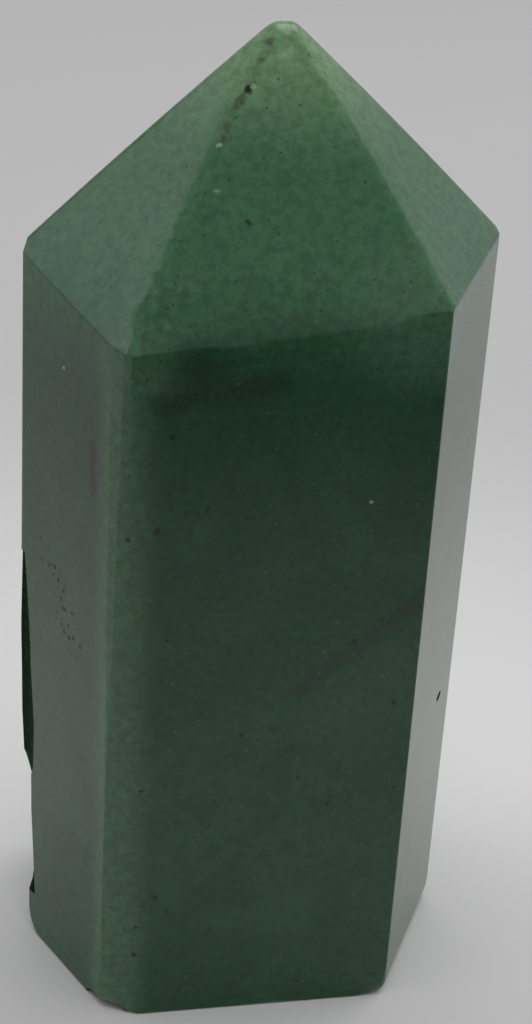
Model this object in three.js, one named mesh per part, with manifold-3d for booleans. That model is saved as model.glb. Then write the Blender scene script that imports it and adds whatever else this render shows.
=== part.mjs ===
// A polished aventurine tower: one piece of green stone, ground to a six-sided column with a six-faced
// point and a flat foot. Millimetres, +Z up. The foot stands on z = 0 and the widest face looks to -Y.
import * as THREE from "three";
import { ConvexGeometry } from "three/addons/geometries/ConvexGeometry.js";
import { mergeVertices } from "three/addons/utils/BufferGeometryUtils.js";
import Module from "manifold-3d";

// The column's ground faces: the azimuth of each outward normal, its distance from the column's axis
// at the height of the shoulders, and how far it leans out towards the foot. Degrees and millimetres.
const COLUMN = {
  front: { azimuth: 270, distance: 11.29, lean: 0 },
  right: { azimuth: 331.4, distance: 14.85, lean: 0 },
  backRight: { azimuth: 25.8, distance: 15.7, lean: 0 },
  back: { azimuth: 90.5, distance: 11.3, lean: 0 },
  backLeft: { azimuth: 151.8, distance: 15.15, lean: 1.05 },
  left: { azimuth: 205.8, distance: 14.77, lean: 0.3 },
};

// The point's ground faces: which way each falls and how steeply. All of them pass through the apex.
const POINT = {
  frontPoint: { azimuth: 265.3, slope: 58.3 },
  rightPoint: { azimuth: 327.6, slope: 49 },
  backRightPoint: { azimuth: 30, slope: 46.3 },
  backPoint: { azimuth: 88, slope: 57.2 },
  backLeftPoint: { azimuth: 150, slope: 46.1 },
  leftPoint: { azimuth: 216.3, slope: 51.3 },
};
const APEX = new THREE.Vector3(0.58, 0, 75.7);
const SHOULDER_HEIGHT = 58.9;

// The front left edge is ground off in a narrow strip that turns as it rises: its widths on the two
// faces beside it, at the foot and at its top.
const STRIP_TOP = 56;
const STRIP_ON_LEFT = { foot: 1.25, top: 1.7 };
const STRIP_ON_FRONT = { foot: 2.2, top: 0.3 };

// How far edges and corners are worn round, as radii. What isn't named has the common radius.
const EDGE_RADIUS = 0.25;
const RIDGE_RADIUS = 0.85;
const EDGE_RADII = {
  "front right": 0.2,
  "left strip": 0.2,
  "front strip": 1.6,
  "strip stripTop": 2.5,
  "foot front": 0.18,
  "foot left": 0.25,
  "foot right": 1.5,
  "backLeft left": 0.4,
  "backRight right": 0.4,
};
const CORNER_RADII = {
  "foot front right": 1,
  "backRight foot right": 1.3,
};
const WEAR_STEP_DEGREES = 14;

// The long raw chip down the back left edge. At each height: how far it reaches from the edge over
// the left face and over the back left face. Its hollow is a share of its width deep.
const EDGE_CHIP = [
  { height: 35.3, onLeft: 0.6, onBack: 0.35 },
  { height: 32.7, onLeft: 0.97, onBack: 0.25 },
  { height: 28.5, onLeft: 1.47, onBack: 0.1 },
  { height: 25.6, onLeft: 1.65, onBack: 0.25 },
  { height: 20.6, onLeft: 2.2, onBack: 0.4 },
  { height: 16.5, onLeft: 2.12, onBack: 0.8 },
  { height: 15.6, onLeft: 1.8, onBack: 1.3 },
  { height: 12.4, onLeft: 1.88, onBack: 2.6 },
  { height: 7.4, onLeft: 2.3, onBack: 4 },
  { height: 4, onLeft: 2.6, onBack: 5 },
];
const EDGE_CHIP_HOLLOW = 0.12;
const FOOT_CHIP = [
  { height: 4, onLeft: 1.7, onBack: 3.3 },
  { height: 2.2, onLeft: 1.75, onBack: 3.4 },
  { height: 1.2, onLeft: 2, onBack: 3.7 },
  { height: 0.5, onLeft: 2.6, onBack: 4.5 },
  { height: -0.1, onLeft: 3.6, onBack: 5.8 },
];
const FOOT_CHIP_HOLLOW = 0.02;
const DISC_STEPS = 60;

// Shell-shaped chips: the middle of each, the half sizes of its hollow along, up and into the face,
// and the azimuth of that face.
const SHELL_CHIPS = [
  { middle: [-11.6, -10.1, 0], half: [2.4, 0.95, 1.1], azimuth: 217 },
  { middle: [1.4, -11.3, -0.1], half: [3.6, 0.3, 0.3], azimuth: 270 },
  { middle: [13, -7.3, -0.1], half: [1.7, 0.6, 0.5], azimuth: 331.4 },
  { middle: [15.3, -3, 22.8], half: [0.65, 0.34, 0.2], azimuth: 331.4 },
];
const SHELL_DETAIL = 4;

const wasm = await Module();
wasm.setup();

// The unit vector that lies flat at an azimuth, in degrees, counted from +X towards +Y.
function flatDirection(azimuth) {
  const angle = THREE.MathUtils.degToRad(azimuth);
  return new THREE.Vector3(Math.cos(angle), Math.sin(angle), 0);
}

// A face is a name, its outward normal and its distance from the origin along that normal.
function faceThrough(name, normal, point) {
  return { name, normal, distance: normal.dot(point) };
}

function columnFace(name, { azimuth, distance, lean }) {
  const outward = flatDirection(azimuth);
  const onFace = outward.clone().multiplyScalar(distance).setZ(SHOULDER_HEIGHT);
  const tilt = THREE.MathUtils.degToRad(lean);
  return faceThrough(name, outward.multiplyScalar(Math.cos(tilt)).setZ(Math.sin(tilt)), onFace);
}

function pointFace(name, { azimuth, slope }) {
  const angle = THREE.MathUtils.degToRad(slope);
  const normal = flatDirection(azimuth).multiplyScalar(Math.sin(angle)).setZ(Math.cos(angle));
  return faceThrough(name, normal, APEX);
}

function levelFace(height) {
  return faceThrough("level", new THREE.Vector3(0, 0, 1), new THREE.Vector3(0, 0, height));
}

function movedIn(face, depth) {
  return { ...face, distance: face.distance - depth };
}

// The point where three faces meet, or null where two of them are parallel.
function meeting(a, b, c) {
  const bc = new THREE.Vector3().crossVectors(b.normal, c.normal);
  const ca = new THREE.Vector3().crossVectors(c.normal, a.normal);
  const ab = new THREE.Vector3().crossVectors(a.normal, b.normal);
  const volume = a.normal.dot(bc);
  if (Math.abs(volume) < 1e-6) return null;
  return bc
    .multiplyScalar(a.distance)
    .addScaledVector(ca, b.distance)
    .addScaledVector(ab, c.distance)
    .divideScalar(volume);
}

function faceOfThree(name, a, b, c) {
  const { normal } = new THREE.Plane().setFromCoplanarPoints(a, b, c);
  const outward = normal.dot(a.clone().setZ(0)) > 0 ? 1 : -1;
  return faceThrough(name, normal.multiplyScalar(outward), a);
}

// The strip's two faces, which meet on its diagonal: that is how it turns.
function stripFaces(front, left) {
  const besideEdge = (height, width, azimuth) =>
    meeting(front, left, levelFace(height)).addScaledVector(flatDirection(azimuth), width);
  const leftwards = COLUMN.left.azimuth - 90;
  const rightwards = COLUMN.front.azimuth + 90;
  const leftFoot = besideEdge(0, STRIP_ON_LEFT.foot, leftwards);
  const leftTop = besideEdge(STRIP_TOP, STRIP_ON_LEFT.top, leftwards);
  const frontFoot = besideEdge(0, STRIP_ON_FRONT.foot, rightwards);
  const frontTop = besideEdge(STRIP_TOP, STRIP_ON_FRONT.top, rightwards);
  return [
    faceOfThree("strip", leftFoot, frontFoot, frontTop),
    faceOfThree("stripTop", leftFoot, frontTop, leftTop),
  ];
}

function edgeRadius(a, b) {
  if (a.name in POINT && b.name in POINT) return RIDGE_RADIUS;
  return EDGE_RADII[[a.name, b.name].sort().join(" ")] ?? EDGE_RADIUS;
}

function cornerRadius([a, b, c]) {
  const sharpest = Math.min(edgeRadius(a, b), edgeRadius(b, c), edgeRadius(c, a));
  return CORNER_RADII[[a.name, b.name, c.name].sort().join(" ")] ?? sharpest;
}

// The corners, each as the ball that wears it: it touches the corner's three faces and crosses none.
function cornersOf(faces) {
  const corners = [];
  faces.forEach((a, i) =>
    faces.slice(i + 1).forEach((b, j) =>
      faces.slice(i + j + 2).forEach((c) => {
        const radius = cornerRadius([a, b, c]);
        const centre = meeting(movedIn(a, radius), movedIn(b, radius), movedIn(c, radius));
        const inside = (face) => face.normal.dot(centre) < face.distance - radius + 1e-6;
        if (centre && faces.every(inside)) corners.push({ centre, radius, faces: [a, b, c] });
      }),
    ),
  );
  return corners;
}

// Directions between the normals of two faces, at even steps, without the normals themselves.
function directionsAcross(a, b) {
  const steps = Math.ceil(THREE.MathUtils.radToDeg(a.normal.angleTo(b.normal)) / WEAR_STEP_DEGREES);
  return Array.from({ length: steps - 1 }, (_, i) =>
    a.normal.clone().multiplyScalar(steps - 1 - i).addScaledVector(b.normal, i + 1).normalize(),
  );
}

// Directions inside the triangle of three faces' normals.
function directionsInside([a, b, c]) {
  return directionsAcross(a, b).flatMap((between) => directionsAcross({ normal: between }, c));
}

// A worn edge or corner is many narrow facets, each of them touching the same cylinder or ball.
function wearFacets(directions, centre, radius) {
  return directions.map((normal) => ({ name: "wear", normal, distance: normal.dot(centre) + radius }));
}

function edgeFacets(corners) {
  return corners.flatMap((start, i) =>
    corners.slice(i + 1).flatMap((end) => {
      const [a, b, more] = start.faces.filter((face) => end.faces.includes(face));
      if (!b || more) return [];
      const radius = edgeRadius(a, b);
      const along = faceThrough("along", end.centre.clone().sub(start.centre).normalize(), start.centre);
      const centre = meeting(movedIn(a, radius), movedIn(b, radius), along);
      return wearFacets(directionsAcross(a, b), centre, radius);
    }),
  );
}

function solidOf(geometry) {
  const bare = geometry.clone();
  bare.deleteAttribute("normal");
  bare.deleteAttribute("uv");
  const merged = mergeVertices(bare, 1e-4);
  return new wasm.Manifold(
    new wasm.Mesh({
      numProp: 3,
      vertProperties: new Float32Array(merged.attributes.position.array),
      triVerts: new Uint32Array(merged.index.array),
    }),
  );
}

function geometryOf(solid) {
  const mesh = solid.getMesh();
  return new THREE.BufferGeometry()
    .setAttribute("position", new THREE.BufferAttribute(new Float32Array(mesh.vertProperties), 3))
    .setIndex(new THREE.BufferAttribute(new Uint32Array(mesh.triVerts), 1));
}

// Grinding takes away everything beyond a face.
function ground(solid, { normal, distance }) {
  const size = 3 * APEX.z;
  const beyond = new THREE.BoxGeometry(size, size, size);
  beyond.translate(0, 0, size / 2 + distance);
  beyond.applyQuaternion(new THREE.Quaternion().setFromUnitVectors(new THREE.Vector3(0, 0, 1), normal));
  return solid.subtract(solidOf(beyond));
}

// One flat disc of the tool that hollows an edge: its circle passes through both ends of the chip.
function chipDisc(left, backLeft, { height, onLeft, onBack }, hollow) {
  const edge = meeting(left, backLeft, levelFace(height));
  const start = edge.clone().addScaledVector(flatDirection(COLUMN.left.azimuth + 90), onLeft);
  const chord = edge.addScaledVector(flatDirection(COLUMN.backLeft.azimuth - 90), onBack).sub(start);
  const width = chord.length();
  const depth = hollow * width;
  const radius = (width * width) / (8 * depth) + depth / 2;
  const outward = new THREE.Vector3(-chord.y, chord.x, 0).normalize();
  const centre = start.addScaledVector(chord, 0.5).addScaledVector(outward, radius - depth);
  return Array.from({ length: DISC_STEPS }, (_, i) =>
    centre.clone().addScaledVector(flatDirection((360 * i) / DISC_STEPS), radius),
  );
}

// The tool for a long chip is a chain of hulls, one between each two discs.
function cutAlongEdge(solid, left, backLeft, stations, hollow) {
  const discs = stations.map((station) => chipDisc(left, backLeft, station, hollow));
  return discs.slice(1).reduce(
    (cut, disc, i) => cut.subtract(solidOf(new ConvexGeometry([...discs[i], ...disc]))),
    solid,
  );
}

function cutShell(solid, { middle, half, azimuth }) {
  const tool = new THREE.IcosahedronGeometry(1, SHELL_DETAIL);
  const [along, up, depth] = half;
  tool.scale(depth, along, up);
  tool.rotateZ(THREE.MathUtils.degToRad(azimuth));
  tool.translate(...middle);
  return solid.subtract(solidOf(tool));
}

function buildStone() {
  const foot = faceThrough("foot", new THREE.Vector3(0, 0, -1), new THREE.Vector3());
  const column = Object.entries(COLUMN).map(([name, face]) => columnFace(name, face));
  const point = Object.entries(POINT).map(([name, face]) => pointFace(name, face));
  const [front, left, backLeft] = ["front", "left", "backLeft"].map((name) =>
    column.find((face) => face.name === name),
  );
  const faces = [foot, ...column, ...stripFaces(front, left), ...point];
  const corners = cornersOf(faces);
  const cornerFacets = corners.flatMap((corner) =>
    wearFacets(directionsInside(corner.faces), corner.centre, corner.radius),
  );
  const rough = solidOf(new THREE.BoxGeometry(APEX.z, APEX.z, 2 * APEX.z));
  let solid = [...faces, ...edgeFacets(corners), ...cornerFacets].reduce(ground, rough);
  solid = cutAlongEdge(solid, left, backLeft, EDGE_CHIP, EDGE_CHIP_HOLLOW);
  solid = cutAlongEdge(solid, left, backLeft, FOOT_CHIP, FOOT_CHIP_HOLLOW);
  return geometryOf(SHELL_CHIPS.reduce(cutShell, solid));
}

// The stone's box is centred on the origin, with the foot at z = 0.
function centred(geometry) {
  geometry.computeBoundingBox();
  const middle = geometry.boundingBox.getCenter(new THREE.Vector3());
  return geometry.translate(-middle.x, -middle.y, -geometry.boundingBox.min.z);
}

const polishedGreen = new THREE.MeshStandardMaterial({ color: 0x3f6a4a, roughness: 0.22, metalness: 0 });
const stone = new THREE.Mesh(centred(buildStone()), polishedGreen);
stone.name = "stone";

const tower = new THREE.Group();
tower.add(stone);

export default tower;
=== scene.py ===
"""A polished green aventurine tower on a pale floor. Metres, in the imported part's own frame."""

import math

import bmesh
import bpy
import numpy as np
from mathutils import Matrix, Vector, noise


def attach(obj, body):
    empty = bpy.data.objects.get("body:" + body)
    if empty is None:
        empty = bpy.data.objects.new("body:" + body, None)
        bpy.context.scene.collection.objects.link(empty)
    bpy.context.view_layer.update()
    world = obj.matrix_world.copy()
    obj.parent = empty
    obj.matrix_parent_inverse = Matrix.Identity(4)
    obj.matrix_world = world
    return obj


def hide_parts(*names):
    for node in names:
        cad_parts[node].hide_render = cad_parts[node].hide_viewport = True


MM = 0.001

# The camera, which stands where the photograph was taken from.
CAMERA_PLACE = Vector((-23.735, -123.907, 104.78)) * MM
CAMERA_YAW = math.radians(11.37)
CAMERA_PITCH = math.radians(27.78)
CAMERA_ROLL = math.radians(3.26)
CAMERA_LENS = 66.797
CAMERA_CLIP = (0.01, 20)

# The mesh is cut into cells of this size, and its raw chips into finer ones.
CELL = 1.0 * MM
CHIP_CELL = 0.2 * MM
MOST_SPLITS = 6

# Points closer than the gap are one point, and faces that meet at less than the angle are one face.
GAP = 1e-7
FLAT_ANGLE = 1e-4

# The solid's faces lie in one plane where the cosine between their normals is above this, and their planes'
# distances from the origin differ by less than this.
SAME_WAY = 0.99995
SAME_DISTANCE = 0.02 * MM

# A flat face of the stone has more than this area, and a chip lies deeper than this below all of them.
FLAT_AREA = 40 * MM * MM
CHIP_DEPTH = 0.014 * MM

# Above this height the hand-polished faces bulge, by this much half way between the sides and the tip. A face
# is a side where its normal rises or falls less than this.
POINT_STARTS = 54 * MM
POINT_BULGE = 0.2 * MM
SIDE_RISE = 0.1

# Roughly the way that each of these flat faces looks, which picks it out.
FRONT = (0, -1, 0)
POINT_FRONT = (-0.07, -0.85, 0.53)
POINT_LEFT = (-0.63, -0.46, 0.63)
POINT_RIGHT = (0.64, -0.40, 0.66)

# Edges worn round by hand polishing: their two faces, and how far the wear goes to each side.
WORN_EDGES = [
    (FRONT, POINT_FRONT, 2.4 * MM),
    (POINT_FRONT, POINT_LEFT, 1.3 * MM),
    (POINT_FRONT, POINT_RIGHT, 0.9 * MM),
]

# Wear lies between these heights and this close to the faces, in cells of this height. Its depth falls off
# with this power, which rounds the edge and meets both faces smoothly.
WORN_HEIGHTS = (53.3 * MM, 74 * MM)
WORN_DEPTH = 0.3 * MM
WORN_CELL = 0.4 * MM
WEAR_POWER = 3

# Surfaces that meet at more than this angle meet in a crisp edge, and so do raw and polished stone. The wide
# faces lead the shading by this weight.
CREASE = math.radians(24)
NORMAL_WEIGHT = 80

# The long raw chip on the back left edge: between these heights, left of this place, between these depths.
EDGE_CHIP_HEIGHTS = (3.9 * MM, 35.6 * MM)
EDGE_CHIP_SIDE = -11.5 * MM
EDGE_CHIP_DEPTHS = (-4 * MM, 7 * MM)

# Shell-shaped chips in millimetres: the middle, the half sizes along, up and into the face, its azimuth.
SHELL_CHIPS = [
    ((-11.6, -10.15, 0), (2.4, 0.95, 1.1), 217),
    ((1.4, -11.35, -0.1), (3.6, 0.3, 0.3), 270),
    ((13, -7.35, -0.1), (1.7, 0.6, 0.5), 331.4),
    ((15.3, -3.05, 22.8), (0.65, 0.34, 0.2), 331.4),
]

# The raw stone reaches out to this many times a shell-shaped chip's half sizes.
SHELL_REACH = 1.06

# Raw stone is rough. It has ripples that spread from the blow and waver, and grains, whose fractal noise has
# this fall-off, step in fineness and number of steps. Both fade out this close to the polished faces.
RIPPLE_LENGTH = 1.1 * MM
RIPPLE_HEIGHT = 0.035 * MM
RIPPLE_WAVER = 0.4 * MM
GRAIN_HEIGHT = 0.07 * MM
GRAIN_SIZE = 0.9 * MM
GRAIN_FRACTAL = (0.9, 2.2, 4)
RAW_FADE = 0.25 * MM

# The mesh attribute that is 1 on raw stone and 0 on polished stone.
RAW = "raw"

# The colour sockets of a Mix node by number: the two that go in, and the one that comes out.
MIX_FIRST = 6
MIX_SECOND = 7
MIX_RESULT = 2


def make_camera():
    """The camera, at the photograph's place and angle."""
    data = bpy.data.cameras.new("camera")
    data.lens = CAMERA_LENS
    data.clip_start, data.clip_end = CAMERA_CLIP
    made = bpy.data.objects.new("camera", data)
    turn = Matrix.Rotation(-CAMERA_YAW, 4, "Z")
    tilt = Matrix.Rotation(math.pi / 2 - CAMERA_PITCH, 4, "X")
    roll = Matrix.Rotation(CAMERA_ROLL, 4, "Z")
    made.matrix_world = Matrix.Translation(CAMERA_PLACE) @ turn @ tilt @ roll
    bpy.context.scene.collection.objects.link(made)
    bpy.context.scene.camera = made


def rgb(red, green, blue):
    """A colour as linear light."""
    return (red, green, blue, 1.0)


def add(tree, kind, settings, inputs):
    """A new node with its settings, and its inputs by name or number: a socket is linked, a value is set."""
    node = tree.nodes.new(kind)
    for name, value in settings.items():
        setattr(node, name, value)
    for name, value in inputs.items():
        if isinstance(value, bpy.types.NodeSocket):
            tree.links.new(value, node.inputs[name])
        else:
            node.inputs[name].default_value = value
    return node


def calculate(tree, operation, first, second=0.0):
    """A number worked out from one or two others."""
    return add(tree, "ShaderNodeMath", {"operation": operation}, {0: first, 1: second}).outputs[0]


def rise(tree, value, low, high, to_low=0.0, to_high=1.0):
    """A smooth step from to_low to to_high, as the value goes from low to high."""
    settings = {"interpolation_type": "SMOOTHSTEP"}
    inputs = {"Value": value, "From Min": low, "From Max": high, "To Min": to_low, "To Max": to_high}
    return add(tree, "ShaderNodeMapRange", settings, inputs).outputs["Result"]


def blend(tree, share, first, second):
    """The first colour, with a share of the second mixed in."""
    settings = {"data_type": "RGBA", "clamp_factor": True}
    node = add(tree, "ShaderNodeMix", settings, {0: share, MIX_FIRST: first, MIX_SECOND: second})
    return node.outputs[MIX_RESULT]


def scaled(tree, vector, factor):
    """A colour, place or direction times a number."""
    inputs = {0: vector, "Scale": factor}
    return add(tree, "ShaderNodeVectorMath", {"operation": "SCALE"}, inputs).outputs["Vector"]


def cloud(tree, place, scale, detail, roughness, distortion=0.0):
    """Soft noise around 0.5. Scale is in lumps to the millimetre."""
    inputs = {
        "Vector": place,
        "Scale": scale,
        "Detail": detail,
        "Roughness": roughness,
        "Distortion": distortion,
    }
    return add(tree, "ShaderNodeTexNoise", {}, inputs).outputs["Fac"]


# Each kind of mark fades out between these shares of its radius.
DOT_RIM = (0.6, 1.4)
FLECK_RIM = (0.5, 1.5)
GLINT_RIM = (0.5, 1.4)


def dots(tree, place, spacing, size):
    """Round dots scattered about so far apart, of about that radius: 1 in a dot, 0 outside. Millimetres."""
    inputs = {"Vector": place, "Scale": 1 / spacing, "Randomness": 1.0}
    cells = add(tree, "ShaderNodeTexVoronoi", {"feature": "F1"}, inputs)
    inner, outer = (share * size / spacing for share in DOT_RIM)
    return rise(tree, cells.outputs["Distance"], inner, outer, 1.0, 0.0)


def in_millimetres(tree):
    """Where a point of the stone is, in millimetres."""
    place = tree.nodes.new("ShaderNodeTexCoord").outputs["Object"]
    return scaled(tree, place, 1 / MM)


def near(tree, place, point, inner, outer):
    """1 within the inner distance of a point, falling to 0 at the outer distance. Millimetres."""
    inputs = {0: place, 1: point}
    apart = add(tree, "ShaderNodeVectorMath", {"operation": "DISTANCE"}, inputs).outputs["Value"]
    return rise(tree, apart, inner, outer, 1.0, 0.0)


def fleck(tree, place, spot, radius, rim):
    """1 in a fleck, falling to 0 over its rim, which is given as two shares of the radius."""
    inner, outer = (share * radius for share in rim)
    return near(tree, place, spot, inner, outer)


def streak(tree, place, start, end, inner, outer):
    """1 within the inner distance of a line, falling to 0 at the outer distance. Millimetres."""
    line = Vector(end) - Vector(start)
    inputs = {0: place, 1: start}
    away = add(tree, "ShaderNodeVectorMath", {"operation": "SUBTRACT"}, inputs).outputs["Vector"]
    inputs = {0: away, 1: line / line.length_squared}
    along = add(tree, "ShaderNodeVectorMath", {"operation": "DOT_PRODUCT"}, inputs).outputs["Value"]
    passed = scaled(tree, line, add(tree, "ShaderNodeClamp", {}, {"Value": along}).outputs["Result"])
    return near(tree, away, passed, inner, outer)


def most(tree, values):
    """The largest of several values."""
    largest = values[0]
    for value in values[1:]:
        largest = calculate(tree, "MAXIMUM", largest, value)
    return largest


def times(tree, values):
    """The product of several values."""
    product = values[0]
    for value in values[1:]:
        product = calculate(tree, "MULTIPLY", product, value)
    return product


# The noise that makes rims ragged: lumps to the millimetre, its detail, and the full width of its moves.
RAGGED_SCALE = 2.5
RAGGED_DETAIL = 2.0
RAGGED_WIDTH = 0.5


def jittered(tree, place):
    """The place moved about a little, which gives marks ragged rims."""
    inputs = {"Vector": place, "Scale": RAGGED_SCALE, "Detail": RAGGED_DETAIL}
    waves = add(tree, "ShaderNodeTexNoise", {}, inputs).outputs["Color"]
    inputs = {0: waves, 1: (0.5,) * 3}
    offset = add(tree, "ShaderNodeVectorMath", {"operation": "SUBTRACT"}, inputs).outputs["Vector"]
    inputs = {0: offset, 1: (RAGGED_WIDTH,) * 3, 2: place}
    return add(tree, "ShaderNodeVectorMath", {"operation": "MULTIPLY_ADD"}, inputs).outputs["Vector"]


# The stone's colours, with painted light and painted shade among them.
DEEP_GREEN = rgb(0.0035, 0.068, 0.020)
MILKY_GREEN = rgb(0.014, 0.092, 0.036)
POINT_GREEN = rgb(0.055, 0.178, 0.082)
TIP_GREEN = rgb(0.220, 0.390, 0.200)
# Painted light, glowing through the stone at the left front edge and corner.
PAINTED_GLOW_GREEN = rgb(0.066, 0.160, 0.080)
# Milky mist in the stone, also used for painted light glowing at the right shoulder.
MIST_AND_GLOW_GREEN = rgb(0.100, 0.220, 0.125)
# A dark band in the stone, also used for painted shade under the shoulder.
BAND_AND_SHADE_GREEN = rgb(0.003, 0.034, 0.010)
DARK_FLECK = rgb(0.004, 0.010, 0.006)
LIGHT_FLECK = rgb(0.30, 0.42, 0.30)
STAIN = rgb(0.020, 0.012, 0.010)
RUST = rgb(0.075, 0.090, 0.030)
# Raw stone, darkened with painted shade in the chips.
RAW_AND_SHADE_GREEN = rgb(0.010, 0.024, 0.011)

# Soft noise: lumps to the millimetre, detail, roughness and distortion. A step says between which of its
# values it takes effect, and where two more numbers follow, what it goes from and to.
VEILS = (0.16, 4, 0.55, 0.8)
VEIL_STEP = (0.4, 0.8)
MIST_PATCHES = (0.5, 3, 0.6, 0.5)
MIST_STEP = (0.42, 0.72, 0.1, 0.6)
FOLDS = (0.22, 2, 0.5, 1.2)
FOLD_STEP = (0.0, 0.14, 0.11, 0.0)
CRACK_GAPS = (1.2, 1, 0.5)
CRACK_STEP = (0.4, 0.6, 0.15, 0.8)
GRAINS = (1.5, 3, 0.7)
GRAIN_STEP = (0.3, 0.7, 0.8, 1.2)

# Relief too fine for the mesh: waves in the hand polish and grains on the raw stone, heights in millimetres.
POLISH_WAVES = (0.3, 1, 0.5)
POLISH_HEIGHT = 0.02
BROKEN_GRAINS = (4.0, 3, 0.7)
BROKEN_HEIGHT = 0.05

# Heights in millimetres between which the colours change on the way up.
POINT_RISE = (50.5, 63.5)
TIP_RISE = (66, 75)
PAINTED_GLOW_ENDS = (55, 60)
MIST_RISE = (56, 60)

# The place of the front face, in millimetres.
FRONT_DEPTH = -11.35

# Soft spots: the middle, and the distances between which they fade, in millimetres. The glows are painted
# light, and the spot at the top of the front face is painted shade.
PAINTED_EDGE_GLOW = ((-11.2, -10.8, 0), 0.6, 3.3)
PAINTED_CORNER_GLOW = ((-10.2, -11.2, 55.5), 1.0, 4.4)
PAINTED_SHOULDER_GLOW = ((8.8, -10.8, 58.5), 1.0, 7.5)
CORNER_MIST = ((-9.6, -9.6, 59.5), 2.0, 8.5)
PAINTED_SHADE_SPOT = ((-5.8, FRONT_DEPTH, 54.4), 0.5, 4.2)
PALE_PATCH = ((7.5, FRONT_DEPTH, 29.5), 1, 8)
WISPS = ((-1, FRONT_DEPTH, 19.5), 3, 14)

# Streaks: the start, the end, and the distances between which they fade, in millimetres. The rim under the
# shoulder is painted shade.
BAND = ((10.4, FRONT_DEPTH, 36.7), (2.2, FRONT_DEPTH, 29.6), 0.2, 1.1)
PAINTED_SHADE_RIM = ((-8.2, FRONT_DEPTH, 52.6), (-0.5, FRONT_DEPTH, 53.9), 0.3, 1.5)
STAIN_LINE = ((-12.6, -8.05, 44.7), (-12.65, -7.95, 48.0), 0.15, 0.9)
PITTED = ((-15.5, -2.2, 36.9), (-13.7, -5.95, 31.4), 0.9, 2.0)

# Scattered dots: how far apart and of what radius, in millimetres. The pattern of the pale ones is stretched
# a little, so that it differs from the dark ones'.
PITS = (0.75, 0.2)
DARK_SPECKS = (1.0, 0.1)
PALE_SPECKS = (1.6, 0.11)
PALE_STRETCH = 1.07

# How much of the stone's colour each mark covers at most.
PAINTED_SHOULDER_GLOW_SHARE = 0.6
POINT_MIST_SHARE = 0.45
BAND_AND_SHADE_SHARE = 0.6
PATCH_SHARE = 0.12
STAIN_SHARE = 0.9
PIT_SHARE = 0.6
DARK_SPECK_SHARE = 0.5
PALE_SPECK_SHARE = 0.14

# Quartz, and how light goes into it. Roughness and specular level are for polished stone, then for raw stone,
# and a pit is this dull between them.
QUARTZ_IOR = 1.545
LIGHT_REACH = (0.5, 1.0, 0.6)
LIGHT_DEPTH = 0.5 * MM
ROUGHNESS = (0.13, 0.9)
SPECULAR_LEVEL = (0.5, 0.1)
PIT_DULLNESS = 0.5

# Dark flecks on the front face: across, height and radius in millimetres.
FRONT_FLECKS = [
    (-7.7, 50.1, 0.2),
    (-11.1, 48.15, 0.34),
    (-5.1, 44.7, 0.13),
    (-8.6, 43.1, 0.26),
    (-10.6, 42.5, 0.22),
    (-7.7, 34.4, 0.15),
    (5.9, 33.5, 0.2),
    (-11.6, 28.4, 0.15),
    (-10.5, 26.8, 0.13),
    (-2.0, 25.9, 0.22),
    (9.2, 28.1, 0.16),
    (-9.2, 21.5, 0.17),
    (9.9, 20.5, 0.14),
    (4.8, 19.3, 0.2),
    (2.5, 21.9, 0.16),
    (-8.0, 11.5, 0.2),
    (-9.4, 8.7, 0.16),
    (-9.5, 6.0, 0.26),
    (-7.7, 4.1, 0.16),
    (3.6, 2.2, 0.16),
    (4.6, 3.2, 0.14),
]

# Dark flecks elsewhere, and light ones: the place and the radius in millimetres.
OTHER_FLECKS = [
    ((-2.15, -2.6, 71.06), 0.27),
    ((-2.58, -7.31, 63.57), 0.24),
    ((16.2, -1.55, 57.7), 0.14),
    ((15.5, -3.0, 54.9), 0.16),
    ((12.6, -8.4, 19.6), 0.15),
    ((11.6, -10.15, 6.3), 0.17),
]
LIGHT_FLECKS = [
    ((-1.76, -2.57, 71.32), 0.17),
    ((-4.15, -4.31, 67.81), 0.2),
    ((-14.3, -4.4, 52.35), 0.15),
    ((-10.66, -11.35, 36.35), 0.13),
    ((6.3, -11.35, 44.75), 0.12),
]

# A rusty crack in the point, from the tip to a light fleck, and the distances between which it fades.
CRACK = [(-0.54, -0.92, 73.93), (-2.15, -2.6, 71.06), (-3.04, -3.06, 69.85), (-4.15, -4.31, 67.81)]
CRACK_WIDTHS = (0.05, 0.5)


def body_colour(tree, place):
    """The green of the stone: veined and deep in the column and paler in the point, with painted light
    glowing at the left front edge and the right shoulder.
    """
    height = add(tree, "ShaderNodeSeparateXYZ", {}, {0: place}).outputs["Z"]
    body = blend(tree, rise(tree, cloud(tree, place, *VEILS), *VEIL_STEP), DEEP_GREEN, MILKY_GREEN)
    body = blend(tree, rise(tree, height, *POINT_RISE), body, POINT_GREEN)
    body = blend(tree, rise(tree, height, *TIP_RISE), body, TIP_GREEN)
    inputs = {0: place, 1: (1, 1, 0)}
    level = add(tree, "ShaderNodeVectorMath", {"operation": "MULTIPLY"}, inputs).outputs["Vector"]
    # Painted light glowing through the left front edge and corner, then at the right shoulder.
    glow = most(tree, [near(tree, level, *PAINTED_EDGE_GLOW), near(tree, place, *PAINTED_CORNER_GLOW)])
    column = rise(tree, height, *PAINTED_GLOW_ENDS, 1.0, 0.0)
    body = blend(tree, times(tree, [glow, column]), body, PAINTED_GLOW_GREEN)
    shoulder = near(tree, place, *PAINTED_SHOULDER_GLOW)
    body = blend(tree, times(tree, [shoulder, PAINTED_SHOULDER_GLOW_SHARE]), body, MIST_AND_GLOW_GREEN)
    patches = rise(tree, cloud(tree, place, *MIST_PATCHES), *MIST_STEP)
    point = rise(tree, height, *MIST_RISE, 0.0, POINT_MIST_SHARE)
    misty = most(tree, [near(tree, place, *CORNER_MIST), point])
    return blend(tree, times(tree, [patches, misty]), body, MIST_AND_GLOW_GREEN)


def open_pits(tree, place):
    """The small pits in the left face: 1 in a pit, 0 outside."""
    return times(tree, [streak(tree, place, *PITTED), dots(tree, place, *PITS)])


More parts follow.
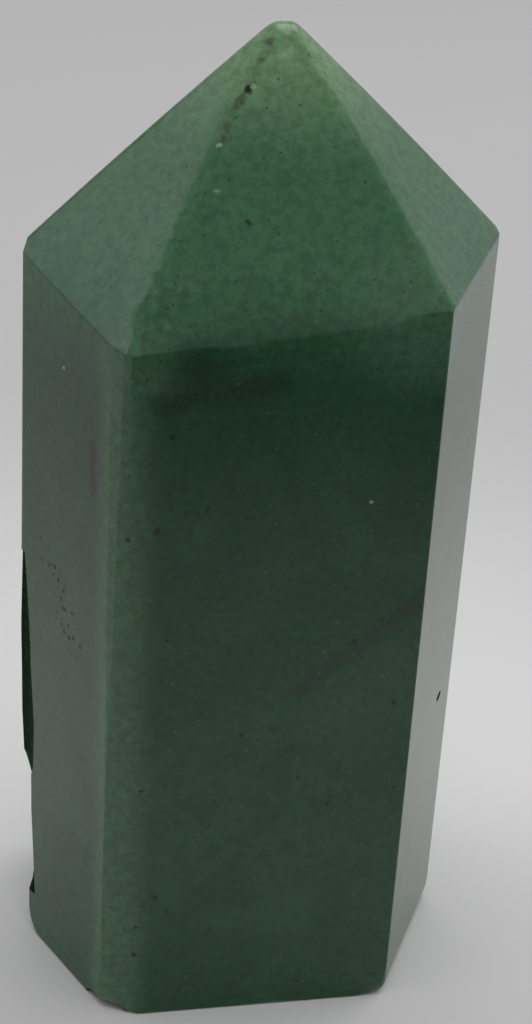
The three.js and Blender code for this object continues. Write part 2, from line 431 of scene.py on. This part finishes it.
def marked(tree, place, body, pits):
    """The body's colour with its bands, painted shade under the shoulder, wisps, stain, crack, pits and
    flecks.
    """
    ragged = jittered(tree, place)
    # Painted shade under the shoulder, together with the stone's dark band across the front.
    shade_spot = near(tree, place, *PAINTED_SHADE_SPOT)
    band_and_shade = most(tree, [streak(tree, ragged, *BAND), streak(tree, ragged, *PAINTED_SHADE_RIM), shade_spot])
    body = blend(tree, times(tree, [band_and_shade, BAND_AND_SHADE_SHARE]), body, BAND_AND_SHADE_GREEN)
    pale_patch = near(tree, place, *PALE_PATCH)
    body = blend(tree, times(tree, [pale_patch, PATCH_SHARE]), body, MIST_AND_GLOW_GREEN)
    folds = calculate(tree, "SUBTRACT", cloud(tree, place, *FOLDS), 0.5)
    veins = rise(tree, calculate(tree, "ABSOLUTE", folds), *FOLD_STEP)
    body = blend(tree, times(tree, [veins, near(tree, place, *WISPS)]), body, MIST_AND_GLOW_GREEN)
    stain = streak(tree, ragged, *STAIN_LINE)
    body = blend(tree, times(tree, [stain, STAIN_SHARE]), body, STAIN)
    cracks = [streak(tree, ragged, a, b, *CRACK_WIDTHS) for a, b in zip(CRACK, CRACK[1:])]
    gaps = rise(tree, cloud(tree, place, *CRACK_GAPS), *CRACK_STEP)
    body = blend(tree, times(tree, [most(tree, cracks), gaps]), body, RUST)
    dark = [fleck(tree, ragged, (x, FRONT_DEPTH, z), r, FLECK_RIM) for x, z, r in FRONT_FLECKS]
    dark += [fleck(tree, ragged, spot, r, FLECK_RIM) for spot, r in OTHER_FLECKS]
    dark.append(times(tree, [pits, PIT_SHARE]))
    dark.append(times(tree, [dots(tree, place, *DARK_SPECKS), DARK_SPECK_SHARE]))
    body = blend(tree, most(tree, dark), body, DARK_FLECK)
    light = [fleck(tree, ragged, spot, r, GLINT_RIM) for spot, r in LIGHT_FLECKS]
    stretched = scaled(tree, place, PALE_STRETCH)
    light.append(times(tree, [dots(tree, stretched, *PALE_SPECKS), PALE_SPECK_SHARE]))
    return blend(tree, most(tree, light), body, LIGHT_FLECK)


def aventurine():
    """Green quartz with veils, mottled grains, dark and light specks, polished but for its raw chips, which
    are darkened with painted shade.
    """
    material = bpy.data.materials.new("aventurine")
    material.use_nodes = True
    tree = material.node_tree
    tree.nodes.clear()
    place = in_millimetres(tree)
    grains = rise(tree, cloud(tree, place, *GRAINS), *GRAIN_STEP)
    pits = open_pits(tree, place)
    body = scaled(tree, marked(tree, place, body_colour(tree, place), pits), grains)
    raw = add(tree, "ShaderNodeAttribute", {"attribute_name": RAW}, {}).outputs["Fac"]
    dull = most(tree, [raw, times(tree, [pits, PIT_DULLNESS])])
    waves = times(tree, [cloud(tree, place, *POLISH_WAVES), POLISH_HEIGHT])
    broken = times(tree, [raw, cloud(tree, place, *BROKEN_GRAINS), BROKEN_HEIGHT])
    inputs = {"Height": calculate(tree, "ADD", waves, broken), "Distance": MM}
    relief = add(tree, "ShaderNodeBump", {}, inputs).outputs["Normal"]
    shader = add(
        tree,
        "ShaderNodeBsdfPrincipled",
        {"subsurface_method": "RANDOM_WALK"},
        {
            "Base Color": blend(tree, raw, body, RAW_AND_SHADE_GREEN),
            "Roughness": rise(tree, dull, 0.0, 1.0, *ROUGHNESS),
            "Specular IOR Level": rise(tree, dull, 0.0, 1.0, *SPECULAR_LEVEL),
            "Normal": relief,
            "IOR": QUARTZ_IOR,
            "Subsurface Weight": 1.0,
            "Subsurface Radius": LIGHT_REACH,
            "Subsurface Scale": LIGHT_DEPTH,
        },
    )
    add(tree, "ShaderNodeOutputMaterial", {}, {"Surface": shader.outputs["BSDF"]})
    return material


def flat_planes(mesh):
    """The stone's flat faces, as arrays of their outward normals and of their distances from the origin."""
    planes = []
    for face in sorted(mesh.polygons, key=lambda face: -face.area):
        distance = face.normal.dot(face.center)
        for plane in planes:
            same_distance = abs(plane["distance"] - distance) < SAME_DISTANCE
            if same_distance and plane["normal"].dot(face.normal) > SAME_WAY:
                plane["area"] += face.area
                break
        else:
            planes.append({"normal": face.normal.copy(), "distance": distance, "area": face.area})
    flat = [plane for plane in planes if plane["area"] > FLAT_AREA]
    return np.array([plane["normal"] for plane in flat]), np.array([plane["distance"] for plane in flat])


def depths(points, planes):
    """How deep each point lies below the nearest flat plane."""
    normals, distances = planes
    return (distances - np.array(points) @ normals.T).min(axis=1)


def on_shell(point):
    """Whether a point lies in one of the shell-shaped chips."""
    for middle, half, azimuth in SHELL_CHIPS:
        turn = Matrix.Rotation(-math.radians(azimuth), 3, "Z")
        across = turn @ (point / MM - Vector(middle))
        along, up, depth = half
        if Vector((across.x / depth, across.y / along, across.z / up)).length < SHELL_REACH:
            return True
    return False


def raw_faces(shape, planes):
    """The faces that lie in raw chips."""
    faces = shape.faces[:]
    centres = [face.calc_center_median() for face in faces]
    found = []
    low, high = EDGE_CHIP_HEIGHTS
    front, back = EDGE_CHIP_DEPTHS
    for face, centre, depth in zip(faces, centres, depths(centres, planes)):
        at_left = centre.x < EDGE_CHIP_SIDE and front < centre.y < back
        if depth > CHIP_DEPTH and (on_shell(centre) or (at_left and low < centre.z < high)):
            found.append(face)
    return found


def cut_across(shape, axis, low, high, size):
    """Cuts the faces with planes across the axis, a cell apart from low to high."""
    normal = Vector((0, 0, 0))
    normal[axis] = 1
    steps = int((high - low) / size)
    start = (low + high - steps * size) / 2
    for step in range(steps + 1):
        cut = normal * (start + step * size)
        everything = shape.verts[:] + shape.edges[:] + shape.faces[:]
        bmesh.ops.bisect_plane(shape, geom=everything, dist=GAP, plane_co=cut, plane_no=normal)


def cut_into_cells(shape):
    """Cuts the faces into cells along each axis, and finer where edges are worn."""
    corners = np.array([v.co for v in shape.verts])
    for axis in range(3):
        cut_across(shape, axis, corners[:, axis].min(), corners[:, axis].max(), CELL)
    cut_across(shape, 2, *WORN_HEIGHTS, WORN_CELL)


def refine(shape, planes, size):
    """Splits the edges of the raw chips until none is longer than the size, and gives back their faces."""
    for _ in range(MOST_SPLITS):
        faces = set(raw_faces(shape, planes))
        long_edges = [edge for edge in shape.edges if edge.calc_length() > size]
        edges = [edge for edge in long_edges if not faces.isdisjoint(edge.link_faces)]
        if not edges:
            break
        bmesh.ops.subdivide_edges(shape, edges=edges, cuts=1)
        wide = [face for face in shape.faces if len(face.verts) > 3]
        bmesh.ops.triangulate(shape, faces=wide)
    return set(raw_faces(shape, planes))


def roughen(shape, planes):
    """Gives the raw chips their ripples and grains, which fade out at the polished faces."""
    faces = refine(shape, planes, CHIP_CELL)
    shape.normal_update()
    points = [v for v in {v for face in faces for v in face.verts} if faces.issuperset(v.link_faces)]
    for v, depth in zip(points, depths([v.co for v in points], planes)):
        grain = noise.fractal(v.co / GRAIN_SIZE, *GRAIN_FRACTAL)
        ripple = math.sin(2 * math.pi * (v.co.z + RIPPLE_WAVER * grain) / RIPPLE_LENGTH)
        fade = min(1.0, depth / RAW_FADE)
        v.co += v.normal * fade * (GRAIN_HEIGHT * grain + RIPPLE_HEIGHT * ripple)


def bulge(shape, planes):
    """Rounds the point's faces outwards a little, between the sides and the tip."""
    normals, distances = planes
    sides = np.abs(normals[:, 2]) < SIDE_RISE
    tip = max((v.co for v in shape.verts), key=lambda place: place.z).copy()
    points = [v for v in shape.verts if v.co.z > POINT_STARTS]
    for v, depth in zip(points, depths([v.co for v in points], (normals[sides], distances[sides]))):
        outward = Vector((v.co.x - tip.x, v.co.y - tip.y, 0))
        inside = max(depth, 0)
        share = inside / (inside + outward.length)
        v.co += outward.normalized() * POINT_BULGE * 4 * share * (1 - share)


def wear_edge(shape, planes, faces, width):
    """Wears the edge between two flat faces round, over a width to each side of it."""
    normals, distances = planes
    pair = [(normals @ np.array(direction)).argmax() for direction in faces]
    turn = math.acos(normals[pair[0]] @ normals[pair[1]])
    low, high = WORN_HEIGHTS
    points = [v for v in shape.verts if low < v.co.z < high]
    room = distances - np.array([v.co for v in points]) @ normals.T
    shares = (room[:, pair[0]] - room[:, pair[1]]) / (width * math.sin(turn))
    margins = np.delete(room, pair, axis=1).min(axis=1)
    for v, share, margin, below in zip(points, shares, margins, room[:, pair]):
        if abs(share) < 1 and margin > 0 and below.min() < WORN_DEPTH:
            nearest = Vector(normals[pair[below.argmin()]])
            mixed = normals[pair[0]] * (1 - share) + normals[pair[1]] * (1 + share)
            outward = Vector(mixed).normalized()
            lifted = below.min() / outward.dot(nearest)
            worn = width * math.tan(turn / 2) / WEAR_POWER * (1 - abs(share)) ** WEAR_POWER
            v.co += outward * (lifted - worn) * min(1, margin / width)


def keep_inside(shape, source):
    """Moves what stands outside the solid's box back to its sides."""
    corners = np.array([v.co for v in source.vertices])
    low, high = corners.min(axis=0), corners.max(axis=0)
    for v in shape.verts:
        v.co = Vector(np.clip(v.co, low, high))


def crease(shape, raw):
    """Makes the faces smooth, with crisp edges where they bend sharply or where raw meets polished stone."""
    for face in shape.faces:
        face.smooth = True
    for edge in shape.edges:
        kinds = {face.index in raw for face in edge.link_faces}
        edge.smooth = len(kinds) == 1 and edge.calc_face_angle(0) < CREASE


def stone_mesh(source):
    """The solid's own mesh, cut finer, with its chips roughened, edges worn and point rounded out."""
    planes = flat_planes(source)
    shape = bmesh.new()
    shape.from_mesh(source)
    bmesh.ops.remove_doubles(shape, verts=shape.verts, dist=GAP)
    edges = [edge for edge in shape.edges if edge.calc_face_angle(1) < FLAT_ANGLE]
    bmesh.ops.dissolve_edges(shape, edges=edges, use_verts=False)
    cut_into_cells(shape)
    bmesh.ops.triangulate(shape, faces=shape.faces[:], ngon_method="BEAUTY")
    roughen(shape, planes)
    for first, second, width in WORN_EDGES:
        wear_edge(shape, planes, (first, second), width)
    bulge(shape, planes)
    keep_inside(shape, source)
    shape.faces.index_update()
    raw = {face.index for face in raw_faces(shape, planes)}
    crease(shape, raw)
    mesh = bpy.data.meshes.new("stone_body")
    shape.to_mesh(mesh)
    shape.free()
    values = [1.0 if face.index in raw else 0.0 for face in mesh.polygons]
    mesh.attributes.new(RAW, "FLOAT", "FACE").data.foreach_set("value", values)
    return mesh


def make_stone(nodes):
    """The stone, in the place of its solid."""
    mesh = stone_mesh(nodes["stone"].data)
    made = bpy.data.objects.new("stone_body", mesh)
    bpy.context.scene.collection.objects.link(made)
    mesh.materials.clear()
    mesh.materials.append(aventurine())
    weighted = made.modifiers.new("weighted", "WEIGHTED_NORMAL")
    weighted.keep_sharp = True
    weighted.weight = NORMAL_WEIGHT
    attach(made, "root")
    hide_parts("stone")


# The floor has a painted pool of light, pale round the stone and darker further out, and painted shade in
# front: slight near it, full further.
FLOOR_SIZE = 3.0
FLOOR_PALE = rgb(0.90, 0.90, 0.90)
FLOOR_PAINTED_DIM = rgb(0.65, 0.65, 0.65)
FLOOR_SHADE = rgb(0.10, 0.10, 0.10)
PAINTED_POOL_ENDS = 0.020
PAINTED_DIM_REACHED = 0.120
NEAR_PALENESS = 0.74
NEAR_SHADE_DEPTHS = (-0.020, 0.020)
SHADE_STARTS = -0.045
SHADE_IS_FULL = -0.165
FLOOR_ROUGHNESS = 0.8
FLOOR_SPECULAR_LEVEL = 0.2


def make_floor():
    """A pale floor with a painted pool of light round the stone, in painted shade towards the front."""
    shape = bmesh.new()
    bmesh.ops.create_grid(shape, x_segments=2, y_segments=2, size=FLOOR_SIZE)
    mesh = bpy.data.meshes.new("floor")
    shape.to_mesh(mesh)
    shape.free()
    made = bpy.data.objects.new("floor", mesh)
    bpy.context.scene.collection.objects.link(made)
    material = bpy.data.materials.new("pale_floor")
    material.use_nodes = True
    tree = material.node_tree
    place = tree.nodes.new("ShaderNodeTexCoord").outputs["Object"]
    apart = add(tree, "ShaderNodeVectorMath", {"operation": "LENGTH"}, {0: place}).outputs["Value"]
    # The painted pool of light round the stone, then the painted shade in front of it.
    colour = blend(tree, rise(tree, apart, PAINTED_POOL_ENDS, PAINTED_DIM_REACHED), FLOOR_PALE, FLOOR_PAINTED_DIM)
    depth = add(tree, "ShaderNodeSeparateXYZ", {}, {0: place}).outputs["Y"]
    near_shade = rise(tree, depth, *NEAR_SHADE_DEPTHS, NEAR_PALENESS, 1.0)
    shade = calculate(tree, "MINIMUM", rise(tree, depth, SHADE_IS_FULL, SHADE_STARTS), near_shade)
    shader = tree.nodes["Principled BSDF"]
    tree.links.new(blend(tree, shade, FLOOR_SHADE, colour), shader.inputs["Base Color"])
    shader.inputs["Roughness"].default_value = FLOOR_ROUGHNESS
    shader.inputs["Specular IOR Level"].default_value = FLOOR_SPECULAR_LEVEL
    mesh.materials.append(material)


# Soft lights: the name, the place, what it is aimed at, the size and the radiance. The room is grey.
LIGHTS = [
    ("top_light", (0.05, -0.05, 0.9), (0, 0, 0), 0.8, 1.9),
    ("right_light", (0.5, 0.2, 0.75), (0, 0, 0), 0.4, 1.6),
    ("low_left_light", (-0.728, 0.279, 0.47), (0, 0, 0.07), 0.36, 0.64),
    ("low_right_light", (0.65, 0.49, 0.26), (0, 0, 0.07), 0.5, 0.24),
]
ROOM_GREY = rgb(0.3, 0.3, 0.3)


def soft_light(name, place, target, size, radiance):
    """A square soft light of an even radiance, aimed at the target."""
    data = bpy.data.lights.new(name, "AREA")
    data.shape = "SQUARE"
    data.size = size
    data.energy = radiance * math.pi * size * size
    made = bpy.data.objects.new(name, data)
    made.location = place
    made.rotation_euler = (Vector(target) - Vector(place)).to_track_quat("-Z", "Y").to_euler()
    made.visible_camera = False
    bpy.context.scene.collection.objects.link(made)


def make_lights():
    """Soft light from above, softer light from both sides, and the room's own light."""
    for light in LIGHTS:
        soft_light(*light)
    world = bpy.data.worlds.new("room")
    world.use_nodes = True
    background = world.node_tree.nodes["Background"]
    background.inputs["Color"].default_value = ROOM_GREY
    bpy.context.scene.world = world
    bpy.context.scene.view_settings.view_transform = "Standard"


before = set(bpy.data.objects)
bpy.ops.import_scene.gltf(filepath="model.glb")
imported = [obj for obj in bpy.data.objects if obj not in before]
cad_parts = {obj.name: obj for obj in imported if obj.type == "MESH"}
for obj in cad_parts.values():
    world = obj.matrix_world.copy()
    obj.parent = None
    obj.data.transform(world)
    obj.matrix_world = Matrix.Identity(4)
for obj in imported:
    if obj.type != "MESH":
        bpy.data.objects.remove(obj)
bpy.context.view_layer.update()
make_camera()
make_floor()
make_lights()
make_stone(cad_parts)
